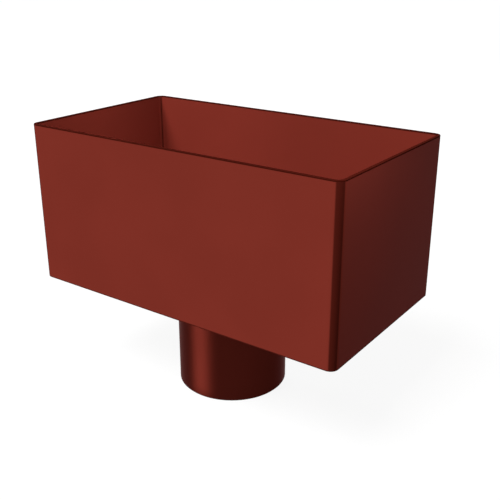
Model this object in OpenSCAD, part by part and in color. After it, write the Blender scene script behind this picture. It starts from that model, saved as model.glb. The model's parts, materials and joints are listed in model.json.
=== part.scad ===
// Downpipe hopper head: an open box of folded sheet that collects rain from a gutter outlet
// and leads it through a round spigot into the top of a downpipe.
// The origin is on the spigot's axis at its lower end. The wall of the building is on the +Y side.

/* [Box] */
// Length of the box along the building's wall, outside
box_w = 300; // [200:1:600]
// Depth of the box from the building's wall to its front, outside
box_d = 165; // [140:1:400]
// Height of the folded walls
box_h = 140; // [60:1:400]
// Thickness of the folded sheet
sheet_t = 3; // [1.5:0.5:5]
// Inside radius of the four corner bends
bend_r = 4; // [2:0.5:20]
// Rounding of the sheet's cut edges at the rim and at the foot
edge_r = 0.5; // [0.1:0.05:0.5]

/* [Base] */
// Thickness of the base plate
base_t = 3; // [1:0.5:6]
// Leg of the weld that seals the base plate to the walls, inside
base_weld = 3; // [1:0.5:5]
// Gap left round the base plate so that it drops into the folded walls
base_gap = 0.1; // [0.05:0.05:0.5]

/* [Outlet] */
// Outside diameter of the spigot, which slides into the downpipe
spigot_d = 97; // [50:0.5:105]
// Length of the spigot below the box
spigot_l = 90; // [40:1:200]
// Wall thickness of the spigot
spigot_wall = 3; // [2:0.5:6]
// Leg of the weld at the root of the spigot
spigot_weld = 4; // [1:0.5:5]
// Chamfer that leads the spigot's lower end into the downpipe
lead_in = 1; // [0.5:0.1:1]
// Distance from the building's wall to the axis of the downpipe
outlet_to_wall = 82.5; // [60:0.5:105]

/* [Hidden] */
$fn = 96;

// Colour of the coat
coat = [0.49, 0.17, 0.15];
// Overshoot of a cutting tool past the face that it leaves
cut_past = 1;
// Least radius kept inside a weld where it turns a corner
turn_r = 0.5;

bend_out_r = bend_r + sheet_t;
box_y = outlet_to_wall - box_d / 2;
half_x = box_w / 2 - bend_out_r;
half_y = box_d / 2 - bend_out_r;

base_corner_r = bend_r - base_gap;
base_weld_leg = min(base_weld, base_corner_r - turn_r);

spigot_r = spigot_d / 2;
bore_r = spigot_r - spigot_wall;

// Square-cut strip with its four edges rounded, from x = 0 and y = 0
module rounded_strip(t, h) {
    translate([edge_r, 0])
        square([t - 2 * edge_r, h]);
    translate([0, edge_r])
        square([t, h - 2 * edge_r]);
    for (x = [edge_r, t - edge_r], y = [edge_r, h - edge_r])
        translate([x, y])
            circle(edge_r);
}

// Carries a section round the box: x is measured outwards from the centres of the corner bends
module round_the_bends() {
    for (side = [0, 180]) {
        rotate(side)
            translate([half_x, 0, 0])
                rotate([90, 0, 0])
                    linear_extrude(2 * half_y, center = true)
                        children();
        rotate(side + 90)
            translate([half_y, 0, 0])
                rotate([90, 0, 0])
                    linear_extrude(2 * half_x, center = true)
                        children();
        rotate(side)
            translate([half_x, half_y, 0])
                rotate_extrude(angle = 90)
                    children();
        rotate(side + 90)
            translate([half_y, half_x, 0])
                rotate_extrude(angle = 90)
                    children();
    }
}

// Section of the base plate's border, from the centre of a bend to the wall, with the weld on it
module base_border() {
    polygon([
        [0, 0],
        [base_corner_r, 0],
        [base_corner_r, base_t + base_weld_leg],
        [base_corner_r - base_weld_leg, base_t],
        [0, base_t]
    ]);
}

// Hole through the base plate, with its upper edge broken
module outlet_hole() {
    rotate_extrude()
        polygon([
            [0, -cut_past],
            [bore_r, -cut_past],
            [bore_r, base_t - edge_r],
            [bore_r + edge_r + cut_past, base_t + cut_past],
            [0, base_t + cut_past]
        ]);
}

// Four walls folded from one strip, open at the top
module folded_body() {
    color(coat)
        translate([0, box_y, spigot_l])
            round_the_bends()
                translate([bend_r, 0])
                    rounded_strip(sheet_t, box_h);
}

// Floor of the box, set into the foot of the walls and welded to them
module base_plate() {
    color(coat)
        translate([0, 0, spigot_l]) {
            difference() {
                translate([-half_x, box_y - half_y, 0])
                    cube([2 * half_x, 2 * half_y, base_t]);
                outlet_hole();
            }
            translate([0, box_y, 0])
                round_the_bends()
                    base_border();
        }
}

// Tube that butts up under the base plate round its hole, with a weld at its root
module outlet_spigot() {
    color(coat)
        rotate_extrude()
            polygon([
                [bore_r + edge_r, 0],
                [spigot_r - lead_in, 0],
                [spigot_r, lead_in],
                [spigot_r, spigot_l - spigot_weld],
                [spigot_r + spigot_weld, spigot_l],
                [bore_r, spigot_l],
                [bore_r, edge_r]
            ]);
}

folded_body();
base_plate();
outlet_spigot();
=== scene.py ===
# %% [markdown]
# # A hopper head for a downpipe
#
# This lesson dresses a rainwater hopper head: an open box of folded sheet that catches the water
# from a gutter, with a round tube below it that slides into a downpipe. The real one is welded from
# three pieces and then sprayed with a brick-red powder that is baked to a coat, inside and out.
#
# The construction is already packed as solids, and they could simply be painted. But a satin coat
# shows every facet of a solid's mesh. So each piece is modelled again in the same place, with clean
# faces and rounded edges, and then it gets its finish.

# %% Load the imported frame
import json
import math

import bmesh
import bpy
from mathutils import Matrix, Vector


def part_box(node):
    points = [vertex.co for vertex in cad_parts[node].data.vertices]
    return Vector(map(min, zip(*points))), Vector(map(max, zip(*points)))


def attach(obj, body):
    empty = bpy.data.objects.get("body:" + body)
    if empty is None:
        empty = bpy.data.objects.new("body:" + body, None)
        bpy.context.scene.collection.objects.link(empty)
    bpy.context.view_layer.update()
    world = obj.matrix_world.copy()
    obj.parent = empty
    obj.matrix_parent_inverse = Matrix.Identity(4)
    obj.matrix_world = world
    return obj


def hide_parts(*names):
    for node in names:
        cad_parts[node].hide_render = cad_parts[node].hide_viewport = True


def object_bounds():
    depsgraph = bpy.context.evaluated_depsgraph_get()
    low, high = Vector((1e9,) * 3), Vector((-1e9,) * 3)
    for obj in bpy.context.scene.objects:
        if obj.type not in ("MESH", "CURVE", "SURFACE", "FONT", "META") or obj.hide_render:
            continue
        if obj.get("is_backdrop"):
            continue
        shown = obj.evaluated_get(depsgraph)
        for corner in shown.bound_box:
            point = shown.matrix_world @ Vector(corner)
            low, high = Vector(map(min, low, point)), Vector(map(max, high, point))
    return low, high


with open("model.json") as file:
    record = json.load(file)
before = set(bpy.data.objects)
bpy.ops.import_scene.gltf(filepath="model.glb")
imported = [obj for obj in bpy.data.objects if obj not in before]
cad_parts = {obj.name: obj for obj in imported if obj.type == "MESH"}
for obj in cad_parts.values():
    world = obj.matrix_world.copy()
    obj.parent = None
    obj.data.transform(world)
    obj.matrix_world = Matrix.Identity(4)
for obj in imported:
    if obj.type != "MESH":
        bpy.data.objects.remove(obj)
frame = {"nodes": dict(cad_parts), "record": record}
cad_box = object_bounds()
print("solids:", sorted(frame["nodes"]))

# %% [markdown]
# ## Sizes
#
# A piece that stands for a solid has to sit exactly where the solid is. Its sizes could be typed in
# again, but then a change to the solids would leave the piece behind. So the outer sizes are read
# from the solids' boxes and from the mounts in the record, and only what these can't tell, such as
# the thickness of the sheet, is written down. Blender works in metres, so a millimetre gets a name.

# %% Read the sizes from the solids
MM = 0.001
SHEET = 3 * MM

wall_low, wall_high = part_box("folded_body")
base_low, base_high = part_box("base_plate")
tube_low, tube_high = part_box("outlet_spigot")
mount_sizes = {mount["name"]: mount["dims"] for mount in frame["record"]["mounts"]}
tube_r = mount_sizes["outlet_spigot"]["r_mm"] * MM
bore_r = mount_sizes["outlet_bore"]["r_mm"] * MM
print("walls, mm:", [round(side / MM, 1) for side in wall_high - wall_low])
print(f"tube: {2 * tube_r / MM:.1f} mm outside, {2 * bore_r / MM:.1f} mm inside")

# %% [markdown]
# ## Sockets in expressions
#
# A finish is a sum of masks, waves and noises. In the editor it is a web of nodes, and in a script
# each node and each link would take a line of its own. Written as arithmetic it stays readable. So
# this small class wraps one output of a node. Its operators add Math nodes, also when a plain number
# comes first, and its `node` method adds a node of any other kind.

# %% A socket that can stand in an expression
def feed(node, inputs):
    """Gives each named input of a node a value, or a link if the value is a socket."""
    for name, value in inputs.items():
        if isinstance(value, Socket):
            node.id_data.links.new(value.output, node.inputs[name])
        else:
            node.inputs[name].default_value = value


class Socket:
    """One output of a shader node."""

    def __init__(self, output):
        self.output = output

    def node(self, kind, settings, inputs, output=0):
        """Adds a node to the same tree: its settings come first, then its inputs."""
        made = self.output.id_data.nodes.new(kind)
        for name, value in settings.items():
            setattr(made, name, value)
        feed(made, inputs)
        return Socket(made.outputs[output])

    def math(self, operation, *values):
        return self.node("ShaderNodeMath", {"operation": operation}, dict(enumerate(values)))

    def __add__(self, other):
        return self.math("ADD", self, other)

    def __sub__(self, other):
        return self.math("SUBTRACT", self, other)

    def __rsub__(self, other):
        return self.math("SUBTRACT", other, self)

    def __mul__(self, other):
        return self.math("MULTIPLY", self, other)

    def __abs__(self):
        return self.math("ABSOLUTE", self)

    __radd__ = __add__
    __rmul__ = __mul__


# %% [markdown]
# ## Masks, blends and noise
#
# Most of a finish is made of four moves. A mask rises smoothly from 0 to 1 along some measure, two
# masks are joined by taking the greater or the lesser, two colours are blended by a mask, and a noise
# makes things uneven. Colours go through a Mix node, because a Math node would turn them grey. The
# Mix node has a set of sockets for each kind of data, so the colour ones are picked by number.

# %% The moves that the finishes use
MIX_FACTOR, MIX_FIRST, MIX_SECOND, MIX_COLOUR = 0, 6, 7, 2


def rise(value, low, high):
    """Goes smoothly from 0 at low to 1 at high."""
    ends = {"Value": value, "From Min": low, "From Max": high}
    return value.node("ShaderNodeMapRange", {"interpolation_type": "SMOOTHSTEP"}, ends)


def most(one, other):
    return one.math("MAXIMUM", one, other)


def least(one, other):
    return one.math("MINIMUM", one, other)


def blend(share, first, second):
    """Mixes two colours, with the share that the second one has."""
    inputs = {MIX_FACTOR: share, MIX_FIRST: first, MIX_SECOND: second}
    return share.node("ShaderNodeMix", {"data_type": "RGBA"}, inputs, MIX_COLOUR)


def noise(place, per_metre, detail):
    inputs = {"Vector": place, "Scale": per_metre, "Detail": detail}
    return place.node("ShaderNodeTexNoise", {}, inputs)


# %% [markdown]
# ## The powder coat
#
# The powder melts in the oven and levels to a fine orange peel: shallow waves about a millimetre and
# a half across. The pigment is very even, so the colour drifts by only a few parts in a hundred. Where
# the surface turns sharply the colour is darker and the coat matter; that darkening is painted shade.
# On the crests of a weld the thin coat is darker and matter too.
#
# A painted look often gets a clear gloss over its colour. This coat is a dull satin, and such a gloss
# would lay the white ground over it as a pink haze. So the gloss is kept very low, and a little
# Metallic gives a faint lustre in the coat's own red instead. All of it reads Object coordinates, so
# the peel has its true size and stays on the piece. The Bump node's distance is 1, so a height in
# metres is a true depth. What is special to one piece, its painted shade and thin places, and its
# welds, is handed in as two small functions of the place.

# %% The coat's colours and measures
BRICK_RED = (0.205, 0.0290, 0.0188, 1)
DEEP_RED = (0.192, 0.0270, 0.0174, 1)
# Dark red painted as shade on rims, bends and ends, and the thin coat on the crests of welds.
SHADE_AND_THIN_RED = (0.040, 0.0045, 0.0025, 1)
DRIFT_PER_METRE = 12
DRIFT_DETAIL = 2
DEEP_BELOW = 0.3
BRICK_ABOVE = 0.7
PEEL_PER_METRE = 640
PEEL_DETAIL = 1
PEEL_DEPTH = 0.006 * MM
LUSTRE = 0.07
LUSTRE_DRIFT = 0.02
ROUGHNESS = 0.36
ROUGHNESS_DRIFT = 0.06
THIN_ROUGHNESS = 0.55
GLOSS_LEVEL = 0.005
GLOSS_TINT = (1, 0.25, 0.2, 1)
print(f"orange peel: waves of about {1 / PEEL_PER_METRE / MM:.1f} mm, {PEEL_DEPTH / MM} mm deep")


# %% A coat that knows its painted shade, its thin places and its welds
def powder_coat(name, shade_and_thin_places, weld_height):
    material = bpy.data.materials.new(name)
    material.use_nodes = True
    nodes = material.node_tree.nodes
    place = Socket(nodes.new("ShaderNodeTexCoord").outputs["Object"])
    axes = place.node("ShaderNodeSeparateXYZ", {}, {"Vector": place}).output.node.outputs
    x, y, z = (Socket(axis) for axis in axes)

    drift = noise(place, DRIFT_PER_METRE, DRIFT_DETAIL)
    shade_and_thin = shade_and_thin_places(x, y, z)
    full_coat = blend(rise(drift, DEEP_BELOW, BRICK_ABOVE), DEEP_RED, BRICK_RED)
    height = PEEL_DEPTH * noise(place, PEEL_PER_METRE, PEEL_DETAIL) + weld_height(x, y, z)
    feed(nodes["Principled BSDF"], {
        # The dark colour on rims, bends, the foot and the tube's end is painted shade; on weld crests
        # it is thin coat.
        "Base Color": blend(shade_and_thin, full_coat, SHADE_AND_THIN_RED),
        "Metallic": (LUSTRE + LUSTRE_DRIFT * drift) * (1 - shade_and_thin),
        "Roughness": ROUGHNESS + ROUGHNESS_DRIFT * drift + THIN_ROUGHNESS * shade_and_thin,
        "Specular IOR Level": GLOSS_LEVEL,
        "Specular Tint": GLOSS_TINT,
        "Normal": place.node("ShaderNodeBump", {}, {"Strength": 1, "Distance": 1, "Height": height}),
    })
    print(f"{name}: {len(nodes)} nodes")
    return material


# %% [markdown]
# ## Helpers for the meshes
#
# The walls and the floor both start from a rectangle with rounded corners, because sheet is bent
# round a tool and never to a point. The arcs could be worked out point by point. A bevel that acts on
# vertices turns the corners of a plain face into arcs by itself, so the bends cost one line.

# %% A bevel, a rounded rectangle and a lift
BEND_STEPS = 17


def bevel(bm, geom, affect, width, steps):
    bmesh.ops.bevel(
        bm, geom=geom, affect=affect, offset=width, offset_type="OFFSET",
        segments=steps, profile=0.5, material=-1, clamp_overlap=False,
    )


def rounded_rectangle(bm, low, high, z, radius):
    """Adds one flat face with arcs for corners, and returns it."""
    corners = bmesh.ops.create_grid(bm, x_segments=1, y_segments=1, size=0.5)["verts"]
    bmesh.ops.scale(bm, verts=corners, vec=(high.x - low.x, high.y - low.y, 1))
    bmesh.ops.translate(bm, verts=corners, vec=((low.x + high.x) / 2, (low.y + high.y) / 2, z))
    bevel(bm, corners, "VERTICES", radius, BEND_STEPS)
    return max(bm.faces, key=lambda face: len(face.verts))


def extrude_up(bm, faces, height):
    """Makes a solid of flat faces, and returns its upper faces."""
    made = bmesh.ops.extrude_face_region(bm, geom=faces, use_keep_orig=True)["geom"]
    lifted = [part for part in made if isinstance(part, bmesh.types.BMVert)]
    bmesh.ops.translate(bm, verts=lifted, vec=(0, 0, height))
    return [part for part in made if isinstance(part, bmesh.types.BMFace)]


# %% [markdown]
# ## From a mesh to a piece
#
# Each mesh ends in the same way. Smooth shading hides the steps of the bends and beads, and edges
# that turn sharply are marked so that they stay crisp. Smooth shading alone would lean the light on a
# large flat wall towards the narrow faces of its rounded edges, and the wall would look swollen. More
# faces along the edges would cure that, and so does a Weighted Normal modifier, which adds none.
# Last, the piece is set to ride on the part's one body, in the place of its solid.

# %% A finished piece
CREASE = math.radians(35)
CUBIC_CM = 1e-6


def finish_piece(bm, name, node, coat):
    bmesh.ops.recalc_face_normals(bm, faces=bm.faces)
    for face in bm.faces:
        face.smooth = True
    for edge in bm.edges:
        edge.smooth = edge.calc_face_angle(0) < CREASE
    open_edges = sum(not edge.is_manifold for edge in bm.edges)
    volume = bm.calc_volume()

    mesh = bpy.data.meshes.new(name)
    bm.to_mesh(mesh)
    bm.free()
    mesh.materials.append(coat)
    piece = bpy.data.objects.new(name, mesh)
    bpy.context.scene.collection.objects.link(piece)
    piece.modifiers.new("Even shading", "WEIGHTED_NORMAL").keep_sharp = True
    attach(piece, "root")
    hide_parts(node)
    print(f"{name}: {len(mesh.polygons)} faces, {open_edges} open edges, {volume / CUBIC_CM:.1f} cm3")
    return piece


# %% [markdown]
# ## The folded walls
#
# The walls are one strip of sheet, folded round four corners. They could be a solidified sheet, but
# then the thickness would have to be kept even in the bends. Here the outline is a rounded rectangle.
# Insetting it by the sheet's thickness leaves a ring whose inner bends share their centres with the
# outer ones, as in folded sheet, and lifting the ring by the height of the box makes the walls. Last,
# the cut edges at the rim and at the foot are deburred with a small bevel.

# %% Model the walls
BEND_INSIDE = 4 * MM
DEBURR = 0.5 * MM
EDGE_STEPS = 3
CUT_EDGE = math.radians(60)

bm = bmesh.new()
outline = rounded_rectangle(bm, wall_low, wall_high, wall_low.z, BEND_INSIDE + SHEET)
ring = bmesh.ops.inset_region(
    bm, faces=[outline], thickness=SHEET, use_even_offset=True, use_boundary=True
)["faces"]
bmesh.ops.delete(bm, geom=[outline], context="FACES_ONLY")
extrude_up(bm, ring, wall_high.z - wall_low.z)
cut_edges = [edge for edge in bm.edges if edge.calc_face_angle(0) > CUT_EDGE]
bevel(bm, cut_edges, "EDGES", DEBURR, EDGE_STEPS)
print("walls: ring of", len(ring), "faces,", len(cut_edges), "cut edges deburred")

# %% [markdown]
# On the walls the colour is darkened on the rim, at the foot and along the middle of each bend. This
# darkening is painted shade. These places could be painted by hand into a map. They follow the shape,
# though, so the coordinates give them. A place is in a bend where it lies past the ends of both
# straight walls.

# %% Where the walls get painted shade
BEND_SHADE = 0.8
BEND_SHADE_FROM = 1.6 * MM
BEND_SHADE_TO = 2.8 * MM
FOOT_SHADE = 0.75
EDGE_SHADE_FROM = 1.2 * MM
EDGE_SHADE_TO = 0.8 * MM
bend_centre_x = wall_high.x - SHEET - BEND_INSIDE
bend_centre_y = wall_high.y - SHEET - BEND_INSIDE
print(f"bends: centres at {bend_centre_x / MM:.1f} and {bend_centre_y / MM:.1f} mm from the middle")


# Painted shade: the rim, the foot and the middle of each bend are darkened.
def wall_painted_shade(x, y, z):
    past_walls = least(abs(x) - bend_centre_x, abs(y) - bend_centre_y)
    bend = rise(past_walls, BEND_SHADE_FROM, BEND_SHADE_TO)
    rim = rise(z, wall_high.z - EDGE_SHADE_FROM, wall_high.z - EDGE_SHADE_TO)
    foot = 1 - rise(z, wall_low.z + EDGE_SHADE_TO, wall_low.z + EDGE_SHADE_FROM)
    return most(BEND_SHADE * bend, most(rim, FOOT_SHADE * foot))


# %% [markdown]
# The strip's two ends meet at the middle of the back. That butt weld is ground flush before coating,
# so only a faint, soft unevenness is left of it on the outside. It is far too shallow to model: a
# strip in the bump, with a noise along its length for the marks of the grinder, is enough.

# %% Coat the walls
SEAM_HALF = 6 * MM
SEAM_CORE_HALF = 1.8 * MM
SEAM_DEPTH = 0.05 * MM
SEAM_EVEN_SHARE = 0.5
SEAM_MARKS_PER_METRE = 90


def wall_seam(x, y, z):
    near_seam = 1 - rise(abs(x), SEAM_CORE_HALF, SEAM_HALF)
    outside = rise(y, wall_high.y - SHEET, wall_high.y - SHEET / 2)
    along = {"W": z, "Scale": SEAM_MARKS_PER_METRE}
    marks = z.node("ShaderNodeTexNoise", {"noise_dimensions": "1D"}, along)
    return near_seam * outside * (SEAM_EVEN_SHARE + marks) * SEAM_DEPTH


wall_coat = powder_coat("coat_on_walls", wall_painted_shade, wall_seam)
finish_piece(bm, "folded_walls", "folded_body", wall_coat)

# %% [markdown]
# ## The floor
#
# The floor is a plate that drops into the foot of the walls, with a bead of weld all round that seals
# it. The bead could be a separate tube laid along the border, but on the real one it is fused to the
# plate. So the plate starts as its outline raised to the height of the bead. The top is inset by the
# bead's width and pushed down to the plate's face, and a bevel rounds the upright border into a bead.
# The bevel stays a little short of the full width, so that no face shrinks to nothing.

# %% Model the floor
BEAD_STEPS = 6
BEAD_ROUNDING = 0.96
PLATE = 3 * MM
floor_z = base_low.z + PLATE
bead = base_high.z - floor_z
base_gap = wall_high.x - SHEET - base_high.x

bm = bmesh.new()
outline = rounded_rectangle(bm, base_low, base_high, base_low.z, BEND_INSIDE - base_gap)
turn_steps = len(outline.verts)
plate_top = extrude_up(bm, [outline], base_high.z - base_low.z)
bmesh.ops.inset_region(bm, faces=plate_top, thickness=bead, use_even_offset=True)
border_edges = list(plate_top[0].edges)
pushed = bmesh.ops.extrude_face_region(bm, geom=plate_top)["geom"]
plate_face = next(part for part in pushed if isinstance(part, bmesh.types.BMFace))
bmesh.ops.delete(bm, geom=plate_top, context="FACES_ONLY")
bmesh.ops.translate(bm, verts=plate_face.verts, vec=(0, 0, -bead))
bevel(bm, border_edges, "EDGES", BEAD_ROUNDING * bead, BEAD_STEPS)
print(f"floor: border of {turn_steps} points, bead {bead / MM:.2f} mm, gap {base_gap / MM:.2f} mm")

# %% [markdown]
# The outlet's hole is cut through the plate before the tube is welded on, and its upper edge is
# broken so that nothing catches on it. A Boolean would cut it too, but it needs a cutter of its own
# and a second cut for the edge. Here the top and the bottom are opened instead. Three circles are
# bridged to make the wall of the hole, and a fill closes the flat faces round it.

# %% Open the floor for the outlet
def circle_edges(bm, radius, z):
    verts = bmesh.ops.create_circle(bm, cap_ends=False, segments=turn_steps, radius=radius)["verts"]
    bmesh.ops.translate(bm, verts=verts, vec=(0, 0, z))
    return list({edge for vert in verts for edge in vert.link_edges})


broken = circle_edges(bm, bore_r + DEBURR, floor_z)
upper = circle_edges(bm, bore_r, floor_z - DEBURR)
lower = circle_edges(bm, bore_r, base_low.z)
plate_edges = list(plate_face.edges)
under_edges = list(outline.edges)
bmesh.ops.delete(bm, geom=[plate_face, outline], context="FACES_ONLY")
for one, other in ((broken, upper), (upper, lower)):
    bmesh.ops.bridge_loops(bm, edges=one + other)
for border, hole in ((plate_edges, broken), (under_edges, lower)):
    bmesh.ops.triangle_fill(bm, edges=border + hole, use_beauty=True)
print(f"floor: hole of {2 * bore_r / MM:.1f} mm with {len(upper)} points")

# %% [markdown]
# A bead of weld is a row of overlapping drops, so it has ripples across it. They are too small to
# model, and the coat half fills them: a sine wave in the bump is enough. Along the walls the wave
# follows x plus y, which runs along both directions of wall. On the crests the coat is a little thin.

# %% Coat the floor
RIPPLE = 2.6 * MM
RIPPLE_DEPTH = 0.25 * MM
RIPPLE_FADE = 0.25
CREST_THIN = 0.4


def crests(wave):
    """Goes from 0 in the valleys of a wave to 1 on its crests."""
    return 0.5 + 0.5 * wave.math("SINE", wave)


def floor_ripples(x, y, z):
    on_bead = rise(z, floor_z, floor_z + RIPPLE_FADE * bead)
    return crests((x + y) * (2 * math.pi / RIPPLE)) * on_bead * RIPPLE_DEPTH


def floor_thin_places(x, y, z):
    return floor_ripples(x, y, z) * (CREST_THIN / RIPPLE_DEPTH)


floor_coat = powder_coat("coat_on_floor", floor_thin_places, floor_ripples)
finish_piece(bm, "floor_plate", "base_plate", floor_coat)

# %% [markdown]
# ## The outlet tube
#
# The tube is a straight piece of pipe that butts up under the floor, with a bead of weld at its root.
# Two cylinders and a Boolean would make it. It is a turned shape, so half of its section is drawn and
# spun once round instead, which gives even faces and a closed seam. The section has a square collar
# at the root for the weld.

# %% Spin the tube
TUBE_WELD = 4 * MM
root_z = tube_high.z - TUBE_WELD
collar_r = tube_r + TUBE_WELD

bm = bmesh.new()
section = [
    bm.verts.new((radius, 0, z))
    for radius, z in (
        (bore_r, tube_low.z), (tube_r, tube_low.z), (tube_r, root_z),
        (collar_r, root_z), (collar_r, tube_high.z), (bore_r, tube_high.z),
    )
]
lines = [bm.edges.new((section[i - 1], section[i])) for i in range(len(section))]
bmesh.ops.spin(
    bm, geom=section + lines, cent=(0, 0, 0), axis=(0, 0, 1),
    angle=2 * math.pi, steps=turn_steps, use_merge=True,
)
print("tube: spun to", len(bm.faces), "faces")

# %% [markdown]
# Three edges of the turned shape are then worked as a maker would work them. A bevel nearly as wide
# as the collar rounds it into the bead of weld, a plain chamfer leads the lower end into the downpipe,
# and the lower edge of the bore is deburred. Each edge is a circle, found by its radius and height.

# %% Work the edges of the tube
TUBE_LEAD_IN = 1 * MM
TOUCH = 0.01 * MM


def ring_edges(bm, radius, z):
    """Edges of the circle with this radius at this height."""
    def on_ring(vert):
        return abs(vert.co.xy.length - radius) < TOUCH and abs(vert.co.z - z) < TOUCH
    return [edge for edge in bm.edges if all(on_ring(vert) for vert in edge.verts)]


bevel(bm, ring_edges(bm, collar_r, root_z), "EDGES", BEAD_ROUNDING * TUBE_WELD, BEAD_STEPS)
bevel(bm, ring_edges(bm, tube_r, tube_low.z), "EDGES", TUBE_LEAD_IN, 1)
bevel(bm, ring_edges(bm, bore_r, tube_low.z), "EDGES", DEBURR, EDGE_STEPS)
print("tube: edges worked,", len(bm.faces), "faces")

# %% [markdown]
# The tube has the same coat, with painted shade as a dark ring at its lower end, and thin coat on the
# crests of its weld. Round the tube the ripples follow the angle about its axis. A wave in x and y
# would change its length on the way round, and a whole number of ripples in a turn lets this one close
# on itself.

# %% Coat the tube
TUBE_END_SHADE = 0.75
TUBE_END_BAND = 0.6 * MM
ripples_per_turn = round(2 * math.pi * tube_r / RIPPLE)
print("tube:", ripples_per_turn, "ripples round the weld")


def tube_ripples(x, y, z):
    on_bead = rise(z, root_z, root_z + RIPPLE_FADE * TUBE_WELD)
    return crests(x.math("ARCTAN2", y, x) * ripples_per_turn) * on_bead * RIPPLE_DEPTH


def tube_shade_and_crests(x, y, z):
    # The darker ring at the lower end is painted shade.
    end = 1 - rise(z, tube_low.z + TUBE_END_BAND, tube_low.z + TUBE_LEAD_IN)
    return TUBE_END_SHADE * end + tube_ripples(x, y, z) * (CREST_THIN / RIPPLE_DEPTH)


tube_coat = powder_coat("coat_on_tube", tube_shade_and_crests, tube_ripples)
tube = finish_piece(bm, "outlet_tube", "outlet_spigot", tube_coat)

# %% [markdown]
# ## Camera
#
# The view is from the front and right, from above the rim, so that it shows the front, the right side
# and the inside. A fairly wide lens stands close by, and the box's long edges run together. A Track To
# constraint could aim the camera, but then the box would sit in the middle of the picture. So the
# place and the two angles are given. A shifted lens would keep the uprights parallel, but it would
# push the box aside in every other view, so there is no shift.

# %% Set the camera
LENS_MM = 55
SENSOR_MM = 36
CAMERA_PLACE = Vector((0.3724, -0.4963, 0.3678))
CAMERA_AROUND = math.radians(35.42)
CAMERA_DOWN = math.radians(21.56)
box_middle = (wall_low + wall_high) / 2

camera_data = bpy.data.cameras.new("camera")
camera_data.lens = LENS_MM
camera_data.sensor_width = SENSOR_MM
camera = bpy.data.objects.new("camera", camera_data)
camera.location = CAMERA_PLACE
camera.rotation_euler = (math.pi / 2 - CAMERA_DOWN, 0, CAMERA_AROUND)
bpy.context.scene.collection.objects.link(camera)
bpy.context.scene.camera = camera
print(f"camera: {(CAMERA_PLACE - box_middle).length:.2f} m from the middle of the box")

# %% [markdown]
# ## Ground
#
# In a studio the part stands on a sheet of pale paper that is far larger than the part. The paper
# could curve up behind it to hide the horizon, but the world is white as well, so one large flat face
# is enough. It lies at the height of the tube's lower end and is marked as stage, so that it isn't
# taken for a piece of the object.

# %% Lay the ground
GROUND_HALF = 8.0

ground_mesh = bpy.data.meshes.new("ground")
bm = bmesh.new()
bmesh.ops.create_grid(bm, x_segments=1, y_segments=1, size=GROUND_HALF)
bmesh.ops.translate(bm, verts=bm.verts, vec=(0, 0, cad_box[0].z))
bm.to_mesh(ground_mesh)
bm.free()
ground = bpy.data.objects.new("ground", ground_mesh)
bpy.context.scene.collection.objects.link(ground)
ground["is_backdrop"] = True
print(f"ground: {2 * GROUND_HALF:.0f} m square at z = {cad_box[0].z:.3f}")

# %% [markdown]
# Paper that looks white needs a lot of light, and it throws that light back up at the part. Brighter
# lamps would do it and would spoil the coat's colour. Instead the sheet is grey for the light that
# bounces, and it glows for the rays that are seen, so it reads as white and still keeps the shadow.
# It is clear from below, so that a view from under the ground shows the part.

# %% Colour the ground
BLACK = (0, 0, 0, 1)
WHITE = (1, 1, 1, 1)
GROUND_GREY = (0.09, 0.09, 0.09, 1)
GROUND_GLOW = 0.90


def seen_rays(tree):
    """Is 1 for rays that show the background: straight, mirrored or through glass."""
    path = tree.nodes.new("ShaderNodeLightPath").outputs
    straight, mirrored, through = (
        Socket(path[name]) for name in ("Is Camera Ray", "Is Glossy Ray", "Is Transmission Ray")
    )
    return most(straight, most(mirrored, through))


ground_material = bpy.data.materials.new("pale_ground")
ground_material.use_nodes = True
ground_nodes = ground_material.node_tree.nodes
feed(ground_nodes["Principled BSDF"], {
    "Base Color": GROUND_GREY,
    "Roughness": 1,
    "Specular IOR Level": 0,
    "Emission Color": blend(seen_rays(ground_material.node_tree), BLACK, WHITE),
    "Emission Strength": GROUND_GLOW,
})
from_below = Socket(ground_nodes.new("ShaderNodeNewGeometry").outputs["Backfacing"])
paper = Socket(ground_nodes["Principled BSDF"].outputs["BSDF"])
clear = paper.node("ShaderNodeBsdfTransparent", {}, {})
one_sided = paper.node("ShaderNodeMixShader", {}, {0: from_below, 1: paper, 2: clear})
feed(ground_nodes["Material Output"], {"Surface": one_sided})
ground_mesh.materials.append(ground_material)
print(f"{ground_material.name}: {len(ground_nodes)} nodes")

# %% [markdown]
# ## Front light
#
# One broad light from the front and above does most of the work. A large softbox close by would
# fall off across the long front wall, so a sun is used: it is even all over, and its wide angle makes
# it soft. The box would throw its shadow across the tube. In a studio a flag, a black card on a stand,
# keeps the light off such a place. Light linking does the same without a card: a collection that holds
# the tube, set to exclude, says what this light doesn't reach.

# %% Set the front light and flag the tube
SUN_AROUND = math.radians(-15)
SUN_HEIGHT = math.radians(55)
SUN_SOFTNESS = math.radians(28)
SUN_POWER = 4.65

sun_data = bpy.data.lights.new("front_light", "SUN")
sun_data.energy = SUN_POWER
sun_data.angle = SUN_SOFTNESS
sun = bpy.data.objects.new("front_light", sun_data)
sun.rotation_euler = (math.pi / 2 - SUN_HEIGHT, 0, SUN_AROUND)
bpy.context.scene.collection.objects.link(sun)

flagged = bpy.data.collections.new("kept_out_of_front_light")
flagged.objects.link(tube)
sun.light_linking.receiver_collection = flagged
flagged.collection_objects[0].light_linking.link_state = "EXCLUDE"
print(f"{sun.name}: {math.degrees(SUN_HEIGHT):.0f} degrees high, kept off {tube.name}")

# %% [markdown]
# ## Softboxes
#
# Each of the other lights has one small job, as in a product studio. A strip, with a spread so narrow
# that it reaches little else, gives the tube an upright band of light. A small box beside the right
# wall lifts its upper part out of the shade, and another reaches over the rim onto the walls inside.
# A large one lights the back, and a weak one near the camera fills what is left. A brighter world
# could light it all, but then no side could be set by itself. The lamps are hidden from the camera
# and from gloss, so that none of them shows in the coat.

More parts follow.
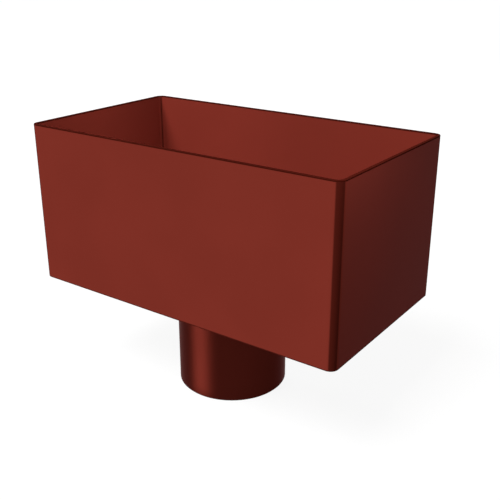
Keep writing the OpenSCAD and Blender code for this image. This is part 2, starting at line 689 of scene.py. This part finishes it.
# %% A softbox
def softbox(name, place, aim, size, power, spread=math.pi):
    light = bpy.data.lights.new(name, "AREA")
    light.shape = "RECTANGLE"
    light.size, light.size_y = size
    light.energy = power
    light.spread = spread
    lamp = bpy.data.objects.new(name, light)
    lamp.location = place
    lamp.visible_camera = False
    lamp.visible_glossy = False
    lamp.rotation_euler = (Vector(aim) - Vector(place)).to_track_quat("-Z", "Y").to_euler()
    bpy.context.scene.collection.objects.link(lamp)
    print(f"{name}: {power} W, {(Vector(aim) - Vector(place)).length:.2f} m from its aim")


# %% Set the softboxes
tube_middle_z = (tube_low.z + tube_high.z) / 2

softbox(
    "side_softbox",
    place=(wall_high.x + 65 * MM, wall_low.y + 2.5 * MM, wall_high.z + 80 * MM),
    aim=(wall_high.x, wall_low.y + 12.5 * MM, wall_high.z - 30 * MM),
    size=(60 * MM, 60 * MM), power=0.08,
)
softbox(
    "tube_strip",
    place=(1 * MM, -tube_r - 31 * MM, tube_middle_z),
    aim=(1 * MM, 0, tube_middle_z),
    size=(16 * MM, 86 * MM), power=0.0034, spread=math.radians(36),
)
softbox(
    "camera_fill",
    place=(0.22, -1.02, 0.25),
    aim=(0, 0, tube_high.z + 30 * MM),
    size=(0.6, 0.6), power=0.85,
)
softbox(
    "back_softbox",
    place=(-0.9, 1.3, 1.1),
    aim=box_middle,
    size=(1.2, 1.2), power=26,
)
softbox(
    "inside_softbox",
    place=(0.10, -45 * MM, wall_high.z + 0.2),
    aim=(wall_low.x + 10 * MM, -10 * MM, wall_high.z - 30 * MM),
    size=(60 * MM, 120 * MM), power=0.09, spread=math.radians(60),
)

# %% [markdown]
# ## World
#
# The world is the white room round the stage. At full strength it would light the shadows away, so it
# gives only a little light and is white just for the rays that are seen. The Standard view transform
# shows colours about as they are written.

# %% Set the world
WORLD_FILL = 0.05

world = bpy.data.worlds.new("studio")
world.use_nodes = True
bpy.context.scene.world = world
strength = WORLD_FILL + (1 - WORLD_FILL) * seen_rays(world.node_tree)
feed(world.node_tree.nodes["Background"], {"Color": WHITE, "Strength": strength})
bpy.context.scene.view_settings.view_transform = "Standard"
print(f"{world.name}: white where it is seen, {WORLD_FILL} as light")

# %% [markdown]
# ## Sizes at the end
#
# The pieces stand for solids, so the dressed part has to fill the same box as the solids did. A look
# at the render wouldn't show a tenth of a millimetre. So both boxes are set side by side, and the
# largest difference between them is printed.

# %% Compare the sizes and finish
sizes = {
    "cad": [list(corner) for corner in cad_box],
    "visual": [list(corner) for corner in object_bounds()],
}
off = max(
    abs(cad - visual)
    for corners in zip(sizes["cad"], sizes["visual"])
    for cad, visual in zip(*corners)
)
print(f"the two boxes differ by {off / MM:.3f} mm at most")
